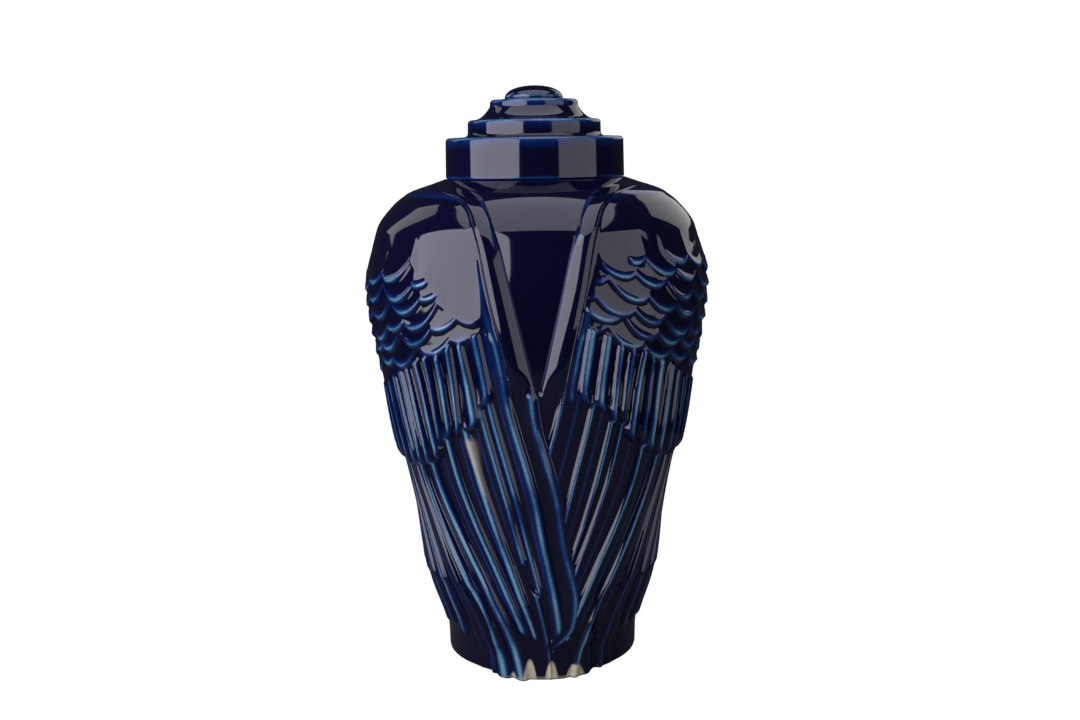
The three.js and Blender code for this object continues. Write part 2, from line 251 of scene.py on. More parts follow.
# Any feather: its crest and glaze as shares of the crest's half width, and its tip
CREST_PLACE = 0.9
CREST_INSET = 0.5
CORE_SHARE = 0.6
SKIRT_SHARE = 1.5
SKIRT_SHIFT = 0.3
SKIRT_PALE = 0.27
FEATHER_EDGE = (-0.9, 0.9)
TIP_MIDDLE = 0.9
TIP_SPREAD = (2.0, 0.6)
TIP_NEXT = 1.2
TIP_FALL = 2.0
TIP_CRISP = 0.55
TIP_CRISP_SPAN = (-0.7, 0.8)
TIP_BLUNT = 0.45
TIP_BLUNT_START = -0.5
TIP_HUMP = (1.8, 1.2)
TIP_CREST_SPAN = (0.2, 1.0)
TIP_PALE_SPAN = (0.0, 9.0)

# Long feathers: thickness, ridge height, and how they fade at the foot and thin out at the sides
PRIMARY_THICK = 1.2
PRIMARY_SAW = 1.1
PRIMARY_STEP = 0.2
PRIMARY_FRONT = (47, 58)
PRIMARY_UPPER = (46, 49)
LOW_THICK = 0.3
LOW_STEP = 0.6
LOW_STEP_SPAN = (44, 50)
LOW_FADE = (13.0, 19.0)
RIDGE_LEAST = 0.6
RIDGE_SHARE = 0.62
LONG_WIDE = 1.35
RIGHT_NARROW = 0.8
SIDE_RELIEF = 0.45
GAP_LEAST = 2.5
GAP_FULL = 6.0
LONG_TIP_ROUND = 0.25
LONG_TIP_CREST = 0.5
LONG_TIP_GAPS = (3.5, 7.5)
LONG_TIP_SLOPE = 3.2
LONG_TIP_PALE = 1.0

# Fine line down the middle of a broad feather
FINE_HALF = 0.8
FINE_LINE = 0.35
FINE_PALE = 0.42
FINE_PLACE = 0.62
FINE_GAPS = (6.0, 8.5)
FINE_START = (3.0, 12.0)
FINE_BACK = (62, 80)

# Coverts: thickness, ridges and the hook at a tip
COVERT_THICK = 3.1
COVERT_SWELL = 2.0
COVERT_SWELL_SPAN = (165, 118)
COVERT_SAW = 0.9
COVERT_BEAD = 2.1
COVERT_SHARE = 0.28
COVERT_HALF = (1.4, 2.5)
COVERT_GAP = 3.0
COVERT_LAST = 7
COVERT_BEND = 1.15
COVERT_MOST = 1.2
COVERT_HOOK = 0.35
COVERT_HOOK_SPAN = (9, 0)
COVERT_TIP = (0.45, 0.5, 6.0, 0.5)

# Feet of the front feathers, which stand proud of the foot
TOE_THICK = 5.0
TOE_ANGLES = (23, 32)
TOE_HEIGHTS = (12.5, 68)

# Facets: columns and rows of a wing, sides of the turned shapes
EDGE_COLUMNS = [0.0, 0.12, 0.3, 0.55]
FINE_START_COLUMN = 0.9
FINE_END = 90
FINE_PITCH = 0.5
BACK_PITCH = 1.4
BACK_COLUMNS = [1.5, 1.0, 0.6, 0.3, 0.0]
ROW_COUNTS = [16, 34, 84, 44, 50, 46]
ROW_PASSES = 8
SKIN_STRIDE = 6
VESSEL_SIDES = 256
VESSEL_START = 1.2
VESSEL_END = 0.6
VESSEL_PITCH = 2.0
VESSEL_INSIDE = [0.965, 0.94, 0.9, 0.83, 0.74, 0.62, 0.5, 0.4, 0.3, 0.19, 0.12, 0.06]
LID_SIDES = 192
FLOOR_SIDES = 96
AXIS_R = 0.02

# Columns between the two edges: how far the hidden ones shift and where they join the V
HIDDEN_SHIFT = 3.5
HIDDEN_SPAN = (115, 150)
COLUMN_JOIN = (150, 156)
COLUMN_UPPER = (139, 160)
COLUMN_INSET = 0.5

# Long feathers: start angle, height of the tip, half width of the crest, paleness, width in degrees
LEFT_LONG = [
    (1.0, 20, 1.6, 0.9, 8.5),
    (11.5, -9, 1.2, 0.65, 8.0),
    (9.0, 47, 1.4, 0.8, 5.0),
    (13.5, 62, 1.2, 0.85, 9.0),
    (22.2, 22, 1.7, 0.95, 10.0),
    (32.5, 25, 1.6, 0.9, 12.5),
    (44.7, -9, 1.9, 1.0, 10.0),
    (54.5, -9, 2.2, 1.0, 8.0),
    (62.5, -9, 1.1, 0.4, 10.0),
    (72.0, 16, 1.9, 0.85, 11.0),
    (83.0, 19, 1.7, 0.7, 9.5),
]
RIGHT_LONG = [
    (-1.5, -9, 1.5, 0.7, 13.0),
    (12.0, -9, 1.4, 0.9, 10.0),
    (22.2, -9, 1.4, 0.9, 5.5),
    (27.5, -9, 1.2, 0.85, 13.0),
    (41.0, 20, 1.8, 0.95, 12.0),
    (53.0, -9, 1.9, 1.0, 12.0),
    (65.7, -9, 1.4, 0.6, 11.0),
    (77.0, 18, 1.6, 0.7, 10.0),
    (87.0, 16, 1.6, 0.65, 9.5),
]

# Long coverts: angle at the top, angle at the tip, height of the tip, paleness
LEFT_COVERTS = [
    (18.0, 15.0, 146, 0.8),
    (24.0, 20.0, 133, 0.9),
    (28.0, 27.5, 130, 0.9),
    (33.0, 31.0, 128, 0.85),
    (38.0, 36.0, 125, 0.8),
    (43.0, 38.0, 115, 0.95),
    (49.0, 43.5, 112.5, 0.85),
    (54.0, 48.5, 110, 0.85),
    (59.5, 54.0, 108.5, 0.85),
]
RIGHT_COVERTS = [
    (15.5, 13.0, 146, 0.95),
    (21.0, 19.0, 142, 0.95),
    (26.0, 25.0, 136, 0.95),
    (30.5, 29.0, 135, 0.6),
    (35.5, 32.0, 125, 1.0),
    (39.5, 38.3, 122, 0.6),
    (43.5, 42.5, 117, 1.0),
    (51.0, 48.5, 113, 1.0),
    (58.0, 57.0, 112, 0.8),
]

# Rows of scales: height of the tips at 35 degrees, angle of one tip
LEFT_SCALES = [(170, 36), (178.5, 30), (186, 39), (195, 47), (203, 37), (212, 51)]
RIGHT_SCALES = [(170, 29), (177.5, 21), (184, 24.5), (193, 29.5), (202, 38.5), (210.5, 43), (219, 51)]

# Lie of the scales: spacing in degrees, where the rows start to level out, and how uneven they are
SCALE_PITCH = 13.6
SCALE_TURN = 35
SCALE_TILT = 0.58
SCALE_FALL = 21.0
SCALE_SHIFT = (2.3, 4.1)
SCALE_NUDGE = 0.8
SCALE_NUDGES = (3.7, 1.9)
LEFT_UNEVEN = 2.0

# Form of a scale: its curve, thickness, crest and glaze
SCALE_DEPTH = 4.6
SCALE_ROUND = 2.2
SCALE_STEEP = 0.85
SCALE_THICK = 3.1
SCALE_STEP = 1.1
SCALE_LENGTH = 11.0
SCALE_TAPER = 0.7
SCALE_BEAD = 1.2
SCALE_HUMP = (1.5, 1.4)
SCALE_CORE = (1.5, 1.0)
SCALE_SKIRT = (1.7, 2.6)
SCALE_SKIRT_LEAST = 0.4
SCALE_PALE = 0.9

# Inner limit of the scales: heights and angles, and how softly they end there
LEFT_SCALE_LIMIT = ([168, 178, 186, 195, 204, 212], [22, 18, 30, 32, 36, 42])
RIGHT_SCALE_LIMIT = ([168, 178, 190, 205, 219], [20, 15, 18, 21, 45])
SCALE_LIMIT_SOFT = 1.5

# Plainer feathers that carry the rows round to the back: step, heights of the tips, then as in the tables
SIDE_LONG_STEP = 9.5
SIDE_LONG_TIPS = (17, 46)
SIDE_LONG = (1.6, 0.7, 9.5)
SIDE_COVERT_STEP = 6.2
SIDE_COVERT_LEAN = (120, 60)
SIDE_COVERT_TIPS = {-1: 108, 1: 110}
SIDE_COVERT_STAGGER = 1.5
SIDE_COVERT_PALE = 0.75

# Glaze colours from its hollows to its ridges by place on a ramp, and the bare clay
NAVY = (0.0016, 0.0022, 0.016, 1)
DEEP_BLUE = (0.002, 0.008, 0.06, 1)
MID_BLUE = (0.006, 0.042, 0.145, 1)
PALE_BLUE = (0.09, 0.21, 0.28, 1)
PALEST = (0.22, 0.38, 0.43, 1)
CLAY = (0.53, 0.48, 0.34, 1)
GLAZE_STOPS = [
    (0.0, NAVY),
    (0.07, NAVY),
    (0.24, DEEP_BLUE),
    (0.46, MID_BLUE),
    (0.7, PALE_BLUE),
    (1.0, PALEST),
]
GLAZE_IOR = 1.6
GLAZE_ROUGH = 0.06
CLAY_ROUGH = 0.6

# Variation of the glaze: scale, detail and stretch of each noise, then its gain and offset
SPECKLE = (900.0, 3.0, (1, 1, 1))
SPECKLE_GAIN = 0.4
SPECKLE_OFFSET = 0.58
DRIFT = (60.0, 2.0, (1, 1, 0.5))
DRIFT_GAIN = 2.2
DRIFT_OFFSET = -0.12
BREAK_LEAST = 0.1

# Bare clay at the front of the foot: angle, half width and height of each patch, then the line below them
CLAY_PATCHES = [(-15.5, 1.6, 3.5), (-6.5, 3.4, 11.0), (4.4, 3.4, 10.0), (17.0, 5.4, 7.5)]
CLAY_POINT = 0.5
CLAY_SOFT = 0.35
CLAY_LINE = 18.0
CLAY_LINE_SOFT = 2
CLAY_LINE_SPAN = (1.7, 0.3)
CLAY_LINE_STRENGTH = 0.8

# Thin beige run on the left wing: feather line, heights, widths at its foot and top, strength
RUN_LINE = 23.6
RUN_FOOT = 90.0
RUN_TOP = 127.0
RUN_END = 3
RUN_THIN = 0.6
RUN_WIDE = 2.0
RUN_BEND = 3
RUN_FADE = (0.0, 0.3)
RUN_STRENGTH = 0.75

# Studio in metres and watts: name, place, target, size, power, colour and shape of each light
LIGHTS = [
    ("softbox_left", (-0.98, -0.72, 0.5), (0, 0, 0.31), (1.76, 1.95), 29, (0.87, 0.86, 1.0), "ELLIPSE"),
    ("softbox_right", (1.0, -0.66, 0.3), (0, 0, 0.15), (1.2, 1.4), 6.0, (0.92, 0.9, 1.0), "RECTANGLE"),
    ("overhead", (0, -0.1, 1.0), (0, 0.27, 0.07), (1.15, 0.95), 5.2, (0.88, 0.9, 1.0), "RECTANGLE"),
    ("rim_right", (0.75, 0.95, 0.75), (0, 0, 0.3), (0.9, 0.8), 1.9, (1, 1, 1), "RECTANGLE"),
    ("rim_left", (-0.87, 0.6, 0.8), (0, 0, 0.35), (0.3, 0.8), 0.7, (1, 1, 1), "RECTANGLE"),
]
WHITE = (1, 1, 1, 1)
WHITE_STRENGTH = 1.05
ROOM = (0.02, 0.02, 0.024, 1)
FLOOR_R = 340.0
FLOOR_GREY = (0.09, 0.085, 0.09, 1)
FLOOR_ROUGH = 0.9
CAMERA_PLACE = (0.00106, -0.686, 0.2685)
CAMERA_DOWN = 9.305
CAMERA_ROLL = -0.92
CAMERA_LENS = 43.33
CAMERA_SENSOR = 36.0


def smooth(a, b, x):
    """Soft step from 0 at a to 1 at b."""
    t = np.clip((x - a) / (b - a), 0.0, 1.0)
    return t * t * (3 - 2 * t)


def mix(a, b, t):
    return a + (b - a) * t


def hump(x, centre, half):
    """A round crest of height 1 about a centre, gone at about twice its half width."""
    return np.exp(-(((x - centre) / half) ** 2))


def rounded(d, radius):
    """A quarter round that rises from 0 at an edge to 1 at a distance of one radius."""
    t = 1 - np.clip(d / radius, 0.0, 1.0)
    return np.sqrt(1 - t * t)


def soft_least(a, b, radius):
    """The lesser of two distances, with the corner between them rounded."""
    near_a = np.exp(-np.clip(a, *LOBE_FAR) / radius)
    near_b = np.exp(-np.clip(b, *LOBE_FAR) / radius)
    return -radius * np.log(near_a + near_b)


def outline_slopes(points):
    s = np.array([p[0] for p in points])
    r = np.array([p[1] for p in points])
    rise = np.diff(r) / np.diff(s)
    inner = []
    for a, b in zip(rise[:-1], rise[1:]):
        inner.append(2 * a * b / (a + b) if a * b > 0 else 0.0)
    return s, r, np.array([rise[0]] + inner + [rise[-1]])


OUTLINE_S, OUTLINE_RADII, OUTLINE_SLOPES = outline_slopes(OUTLINE)


def body_radius(z):
    """Radius of the plain body at height z."""
    s = np.clip(z / BODY_H, 0.0, 1.0)
    i = np.clip(np.searchsorted(OUTLINE_S, s, side="right") - 1, 0, len(OUTLINE) - 2)
    h = OUTLINE_S[i + 1] - OUTLINE_S[i]
    t = (s - OUTLINE_S[i]) / h
    a = OUTLINE_SLOPES[i] * h
    b = OUTLINE_SLOPES[i + 1] * h
    t2 = t * t
    t3 = t2 * t
    low = (2 * t3 - 3 * t2 + 1) * OUTLINE_RADII[i] + (t3 - 2 * t2 + t) * a
    return low + (3 * t2 - 2 * t3) * OUTLINE_RADII[i + 1] + (t3 - t2) * b


def arc_mm(angle, z):
    """Length along the surface of an angle at a height."""
    return angle * DEG * body_radius(z)


def v_edge(z, terms):
    """Angle of a line beside the V at a height, as a sum of powers."""
    t = np.clip((z / BODY_H - V_FOOT) / (V_TOP - V_FOOT), 0.0, V_MOST)
    return sum(angle * t ** power for angle, power in terms)


def panel_edge(z):
    """Half angle of the bare V panel between the wings."""
    return v_edge(z, PANEL_TERMS)


def lobe_edge(z):
    """Inner line of the shoulder lobe, beside the leading band."""
    return v_edge(z, LOBE_TERMS)


def sweep(z):
    """Share of the forward sweep that a long feather has reached at a height."""
    t = 1 - z / BODY_H / SWEEP_TOP
    t = np.clip(SWEEP_SOFT * np.log1p(np.exp(t / SWEEP_SOFT)), 0.0, 1.0)
    eased = SWEEP_EASE * np.sin(t * np.pi / 2) ** 2 + (1 - SWEEP_EASE) * t
    return eased + SWEEP_BULGE * np.sin(t * np.pi)


def flow(u, z):
    """Angle of the feather line that starts at angle u, in one wing's own sense."""
    u = np.asarray(u, float)
    most = mix(FRONT_SWEEP, SIDE_SWEEP, smooth(*SWEEP_SPAN, u)) * (1 - smooth(*SWEEP_FADE, u))
    held = HELD_Z + HELD_SOFT * np.log1p(np.exp((z - HELD_Z) / HELD_SOFT))
    swept = mix(sweep(z), sweep(held), smooth(*HELD_SPAN, u))
    curl = CURL * smooth(*CURL_SPAN, z) * np.clip(-u / OVERLAP_START, 0.0, TURN_MOST)
    lean = LEAN * np.clip(1 - u / LEAN_END, 0.0, TURN_MOST) * smooth(*LEAN_SPAN, z)
    return u - most * swept + curl + lean


def overlap_edge(z):
    """Angle round the body where the left wing's edge lies over the right wing."""
    edge = OVERLAP_SHIFT * smooth(*OVERLAP_SPAN, z) - flow(-OVERLAP_START, z)
    return mix(CENTRE_FOOT, edge, smooth(*OVERLAP_FOOT, z) ** OVERLAP_BEND)


def front_edge(z):
    """Front edge of the left wing in its own sense: along the V, then over the right wing."""
    return mix(-overlap_edge(z), panel_edge(z), smooth(*V_JOIN, z))


def covert_edge(a):
    """Height of the covert tips at an angle."""
    return BODY_H * (COVERT_LINE + COVERT_RISE * (1 - smooth(*COVERT_SPAN, a)))


def scale_edge(a):
    """Height where the scales end and the coverts start at an angle."""
    return BODY_H * np.maximum(SCALE_LINE - SCALE_SLANT * a, SCALE_LOWEST)


def side_relief(psi):
    """Share of the relief that is left as the carving turns to the side."""
    return mix(1.0, SIDE_RELIEF, smooth(*SIDE_SPAN, psi))


class Layer:
    """Thickness and glaze break of a surface, built up feather on feather."""

    def __init__(self, thick):
        self.thick = thick
        self.pale = np.zeros(thick.shape)

    def lay(self, thick, pale, cover):
        """Lays a surface on top where cover is 1."""
        self.thick = mix(self.thick, thick, cover)
        self.pale = mix(self.pale, pale, cover)


def lay_feather(layer, d, gap, e, surface, half, pale, tip):
    """Lays one feather with a raised inner edge and a round tip.

    d is the distance outward from its inner edge, gap its width and e the height over its tip.
    surface holds its thickness, its slope across and the height of its crest.
    tip holds its roundness, its crest, the length of its slope and its paleness.
    """
    base, saw, bead = surface
    tip_round, tip_crest, tip_slope, tip_pale = tip
    x = d / gap
    over_tip = e - tip_round * gap * (2 * x - TIP_MIDDLE) ** 2 * smooth(*TIP_SPREAD, x)
    over_tip = np.where(x > TIP_NEXT, over_tip - TIP_FALL * (x - TIP_NEXT) * gap, over_tip)
    blunt = TIP_BLUNT * smooth(TIP_BLUNT_START, tip_slope, over_tip)
    cover = smooth(*FEATHER_EDGE, d) * (TIP_CRISP * smooth(*TIP_CRISP_SPAN, over_tip) + blunt)
    centre = half * CREST_PLACE + CREST_INSET
    tip_ridge = tip_crest * hump(over_tip, *TIP_HUMP) * (1 - smooth(*TIP_CREST_SPAN, x))
    ridge = np.maximum(hump(d, centre, half), tip_ridge)
    hollow = saw * (1 - np.clip(x, 0.0, 1.0))
    core = np.maximum(hump(d, centre, CORE_SHARE * half), tip_ridge)
    skirt = hump(d, centre + SKIRT_SHIFT, SKIRT_SHARE * half)
    glow = pale * mix(core, skirt, SKIRT_PALE) * mix(tip_pale, 1.0, smooth(*TIP_PALE_SPAN, over_tip))
    layer.lay(base + hollow + bead * ridge, glow, cover)


def side_feathers(last, step, end):
    """Start angles of the plainer feathers that carry a row round to the back."""
    count = int((end - last) / step)
    return [last + (end - last) * (i + 1) / (count + 1) for i in range(count)]


def long_feathers(side):
    rows = list(LEFT_LONG if side < 0 else RIGHT_LONG)
    for i, u in enumerate(side_feathers(rows[-1][0], SIDE_LONG_STEP, WING_BACK)):
        rows.append((u, SIDE_LONG_TIPS[i % 2], *SIDE_LONG))
    return rows


def covert_feathers(side):
    rows = list(LEFT_COVERTS if side < 0 else RIGHT_COVERTS)
    lean = rows[-1][0] - rows[-1][1]
    for i, u in enumerate(side_feathers(rows[-1][0], SIDE_COVERT_STEP, WING_BACK)):
        tip = SIDE_COVERT_TIPS[side] + SIDE_COVERT_STAGGER * (i % 2)
        rows.append((u, u - lean * smooth(*SIDE_COVERT_LEAN, u), tip, SIDE_COVERT_PALE))
    return rows


def long_feather_layer(psi, z, side):
    """The long feathers, from the coverts down to the foot."""
    front = 1 - smooth(*PRIMARY_FRONT, psi + SIDE_SWEEP * sweep(z))
    low = mix(SUNK, LOW_THICK, smooth(*LOW_FADE, z)) + LOW_STEP * smooth(*LOW_STEP_SPAN, z)
    base = mix(low, PRIMARY_THICK, np.maximum(front, smooth(*PRIMARY_UPPER, z)))
    layer = Layer(base)
    for u, foot, half, pale, width in long_feathers(side):
        edge = flow(u, z)
        gap = np.maximum(arc_mm(flow(u + width, z) - edge, z), GAP_LEAST)
        d = arc_mm(psi - edge, z)
        thin = np.minimum(1.0, gap / GAP_FULL)
        height = (RIDGE_LEAST + RIDGE_SHARE * half) * thin * (1.0 if side < 0 else RIGHT_NARROW)
        height = height * side_relief(psi)
        wide = half * thin * (LONG_WIDE if side < 0 else RIGHT_NARROW)
        surface = (base + PRIMARY_STEP, PRIMARY_SAW * thin, height)
        crest = LONG_TIP_CREST * smooth(*LONG_TIP_GAPS, gap)
        tip = (LONG_TIP_ROUND, crest, LONG_TIP_SLOPE, LONG_TIP_PALE)
        lay_feather(layer, d, gap, z - foot, surface, wide, pale, tip)
        # A fine line runs down the middle of a broad feather
        fine = smooth(*FINE_GAPS, gap) * smooth(*FINE_START, z - foot) * hump(d, FINE_PLACE * gap, FINE_HALF)
        layer.thick = layer.thick + FINE_LINE * fine
        layer.pale = np.maximum(layer.pale, FINE_PALE * fine * (1 - smooth(*FINE_BACK, psi)))
    return layer


def lay_coverts(layer, psi, z, side):
    """The row of coverts between the scales and the long feathers."""
    rows = covert_feathers(side)

    def edge_of(row):
        top, foot, tip = row[:3]
        t = np.clip((z - tip) / (scale_edge(np.float64(top)) - tip), 0.0, COVERT_MOST)
        return mix(foot, top, t ** COVERT_BEND)

    low = side_relief(psi)
    base = COVERT_THICK + COVERT_SWELL * smooth(*COVERT_SWELL_SPAN, z)
    surface = (base, COVERT_SAW * low, COVERT_BEAD * low)
    for k, row in enumerate(rows):
        tip, pale = row[2], row[3]
        edge = edge_of(row)
        after = edge_of(rows[k + 1]) if k + 1 < len(rows) else edge + COVERT_LAST
        gap = np.maximum(arc_mm(after - edge, z), COVERT_GAP)
        e = z - tip
        hook = COVERT_HOOK * gap * smooth(*COVERT_HOOK_SPAN, e) ** 2
        d = arc_mm(psi - edge, z) - hook
        half = np.clip(COVERT_SHARE * gap, *COVERT_HALF)
        lay_feather(layer, d, gap, e, surface, half, pale, COVERT_TIP)


def lay_scales(layer, psi, z, side):
    """Rows of scales, each a little out of line, that lie level round the back."""
    rows = LEFT_SCALES if side < 0 else RIGHT_SCALES
    limit = LEFT_SCALE_LIMIT if side < 0 else RIGHT_SCALE_LIMIT
    uneven = LEFT_UNEVEN if side < 0 else 1.0
    past = np.maximum(psi - SCALE_TURN, 0.0)
    before = np.minimum(psi - SCALE_TURN, 0.0)
    drop = SCALE_FALL * (1 - np.exp(-past * SCALE_TILT / SCALE_FALL)) + SCALE_TILT * before
    for j, (height, phase) in enumerate(rows):
        nearest = np.round((psi - phase) / SCALE_PITCH)
        foot = np.full_like(z, BODY_H)
        away = np.ones_like(z)
        for step in (-1, 0, 1):
            k = nearest + step
            shift = uneven * np.sin(SCALE_SHIFT[0] * k + SCALE_SHIFT[1] * j + side)
            centre = phase + k * SCALE_PITCH + shift
            nudge = SCALE_NUDGE * uneven * np.sin(SCALE_NUDGES[0] * k + SCALE_NUDGES[1] * j)
            x = np.abs(2 * (psi - centre) / SCALE_PITCH)
            tip = height + nudge - drop + SCALE_DEPTH * x ** SCALE_ROUND
            away = np.where(tip < foot, x, away)
            foot = np.minimum(foot, tip)
        e = (z - foot) * SCALE_STEEP
        taper = 1 - SCALE_TAPER * np.minimum(away, 1.0) ** 2
        inner = np.interp(height, *limit)
        inside = smooth(inner - SCALE_LIMIT_SOFT, inner + SCALE_LIMIT_SOFT, psi)
        bead = hump(e, *SCALE_HUMP) * taper
        tilt = SCALE_STEP * (1 - np.clip(e / SCALE_LENGTH, 0.0, 1.0))
        core = hump(e, *SCALE_CORE) * taper
        skirt = hump(e, *SCALE_SKIRT) * mix(SCALE_SKIRT_LEAST, 1.0, taper)
        thick = SCALE_THICK + tilt + SCALE_BEAD * bead
        layer.lay(thick, SCALE_PALE * mix(core, skirt, SKIRT_PALE), smooth(*FEATHER_EDGE, e) * inside)


def lay_band(layer, d_edge, across, share):
    """The leading band is a roll beside the V that fades into the long feathers below it."""
    rim = hump(d_edge, *RIM_HUMP)
    climb = 1 - (1 - np.minimum(across / BAND_CREST, 1.0)) ** BAND_BEND
    fall = np.maximum((across - BAND_CREST) / (1 - BAND_CREST), 0.0) ** 2
    band = BAND_THICK + BAND_RISE * climb - BAND_FALL * fall + RIM_RISE * rim
    glow = np.maximum(RIM_PALE * rim, BAND_PALE * hump(across, *BAND_HUMP))
    layer.lay(band, glow, smooth(*BAND_SPAN, share))


def smooth_lobe(psi, z):
    """Cover of the smooth upper lobe, above the coverts."""
    over = (z - scale_edge(np.maximum(psi, SMOOTH_LEAST))) * SMOOTH_SLOPE
    return np.where(psi < SMOOTH_FRONT, smooth(*SMOOTH_FRONT_SPAN, z), smooth(*SMOOTH_SPAN, over))


def wing_surface(psi, z, side):
    """Thickness and glaze break of one wing, in its own sense of angle."""
    layer = long_feather_layer(psi, z, side)
    share = z / BODY_H
    edge = panel_edge(z)
    lobe = lobe_edge(z)
    d_edge = arc_mm(psi - edge, z)
    d_side = arc_mm(psi - lobe, z)
    across = np.clip(d_edge / np.maximum(arc_mm(lobe - edge, z), 1), 0, 1)
    lay_band(layer, d_edge, across, share)

    # The shoulder lobe ends in a round arch and lies on top of the band with its coverts and scales
    d_lobe = soft_least(d_side, LOBE_TOP_SLOPE * (LOBE_TOP * BODY_H - z), LOBE_CORNER)
    covered = Layer(layer.thick)
    covered.pale = layer.pale
    lay_coverts(covered, psi, z, side)
    crest_ends = smooth(*LOBE_CREST_TOP, share) * smooth(*LOBE_CREST_FOOT, share)
    crest = LOBE_CREST_PALE * hump(d_side, *LOBE_CREST_HUMP) * crest_ends
    covered.thick = covered.thick + LOBE_CREST_RISE * crest
    covered.pale = np.maximum(covered.pale, crest)
    wave_a = np.sin(WAVE_A[0] * psi + WAVE_A[1] * z + side)
    wave_b = np.sin(WAVE_B[0] * z + WAVE_B[1] * psi + WAVE_B[2])
    roll = 1 - rounded(np.maximum(d_lobe, 0.0), LOBE_ROUND)
    side_pale = mix(1.0, LOBE_SIDE_PALE, smooth(*LOBE_SIDE_SPAN, psi))
    lobe_break = LOBE_PALE * hump(d_lobe, *LOBE_HUMP) * smooth(*LOBE_PALE_START, d_lobe) * side_pale
    thick = LOBE_THICK - LOBE_ROLL * roll + WAVE * wave_a * wave_b
    covered.lay(thick, lobe_break, smooth_lobe(psi, z))
    lay_scales(covered, psi, z, side)
    layer.lay(covered.thick, covered.pale, smooth(*LOBE_SPAN, d_lobe))
    return layer


def clay_patches(phi, z):
    """Bareness of the clay at the front of the foot."""
    bare = np.zeros_like(z)
    for angle, half, height in CLAY_PATCHES:
        reach = half * (1 - np.clip(z / height, 0, 1)) ** CLAY_POINT
        inside = smooth(CLAY_SOFT, -CLAY_SOFT, np.abs(phi - angle) - reach)
        bare = np.maximum(bare, inside * smooth(height, height - 1, z))
    ends = 1 - smooth(CLAY_LINE - CLAY_LINE_SOFT, CLAY_LINE + CLAY_LINE_SOFT, np.abs(phi))
    return np.maximum(bare, CLAY_LINE_STRENGTH * (smooth(*CLAY_LINE_SPAN, z) * ends))


def glaze_run(psi, z):
    """Bareness of the run of thin glaze below the coverts."""
    climb = smooth(RUN_FOOT, RUN_TOP, z)
    away = arc_mm(psi - flow(RUN_LINE, z), z)
    half = mix(RUN_THIN, RUN_WIDE, climb ** RUN_BEND)
    run = RUN_STRENGTH * hump(away, 0.0, half) * smooth(*RUN_FADE, climb)
    return run * smooth(RUN_TOP + RUN_END, RUN_TOP, z)


def toe(phi, z):
    """Thickness of the feet of the front feathers."""
    return TOE_THICK * (1 - smooth(*TOE_ANGLES, np.abs(phi))) * (1 - smooth(*TOE_HEIGHTS, z))


def round_margin(layer, psi, z, inside_left, under_v):
    """The left wing's inner margin is a rounded roll that lies over the right wing."""
    margin = smooth(*MARGIN_SPAN, inside_left) * under_v * smooth(*MARGIN_FOOT, z)
    inset = mix(*MARGIN_INSET, smooth(*MARGIN_INSET_SPAN, z))
    crest = hump(inside_left, inset, MARGIN_CREST_HALF)
    skirt = hump(inside_left, inset, MARGIN_SKIRT)
    lip = hump(inside_left, *LIP_HUMP) * smooth(*LIP_SPAN, z)
    roll = 1 - rounded(np.maximum(inside_left, 0.0), MARGIN_ROUND)
    glow = np.maximum(MARGIN_PALE * mix(crest, skirt, SKIRT_PALE), LIP_PALE * lip)
    thick = MARGIN_THICK + MARGIN_CREST * crest - MARGIN_ROLL * roll + LIP_RISE * lip
    layer.lay(thick, glow, margin)
    edge = arc_mm(psi - front_edge(z), z)
    layer.thick = mix(SUNK, layer.thick, rounded(edge, mix(EDGE_ROUND, UNDER_ROUND, under_v)))


def dip_under(layer, psi, z, inside_left, under_v):
    """Where the left wing lies over the right one, the right one dips out of sight."""
    dip = smooth(*DIP_SPAN, inside_left) * under_v
    layer.thick = mix(layer.thick, SUNK, dip)
    edge = arc_mm(psi - panel_edge(z), z)
    layer.thick = mix(SUNK, layer.thick, np.maximum(rounded(edge, EDGE_ROUND), under_v))


def finish_wing(psi, z, side):
    """A wing's surface with its edges rounded down into the body: thickness, glaze break, bare clay."""
    layer = wing_surface(psi, z, side)
    phi = side * psi
    share = z / BODY_H
    inside_left = arc_mm(overlap_edge(z) - phi, z)
    bare = clay_patches(phi, z)
    if side < 0:
        round_margin(layer, psi, z, inside_left, smooth(*UNDER_V, z))
        bare = np.maximum(bare, glaze_run(psi, z))
    else:
        dip_under(layer, psi, z, inside_left, smooth(*UNDER_V, z))
    back = arc_mm(WING_BACK - psi, z)
    crest = hump(back, *BACK_HUMP)
    above_foot = smooth(*BACK_SPAN, z)
    layer.thick = mix(SUNK, layer.thick + BACK_RISE * crest * above_foot, rounded(back, EDGE_ROUND))
    layer.pale = np.maximum(layer.pale, BACK_PALE * crest * above_foot)
    thick = mix(SEAT_THICK, layer.thick, smooth(*SEAT_SPAN, share)) + toe(phi, z)
    return thick, layer.pale * smooth(*SEAT_PALE_SPAN, share), bare


def wing_columns():
    """Start angles of a wing's columns, which run down the feathers."""
    start = -OVERLAP_START + np.array(EDGE_COLUMNS)
    front = np.arange(-OVERLAP_START + FINE_START_COLUMN, FINE_END, FINE_PITCH)
    back = np.arange(FINE_END, WING_BACK - BACK_COLUMNS[0], BACK_PITCH)
    end = WING_BACK - np.array(BACK_COLUMNS)
    return np.concatenate([start, front, back, end])


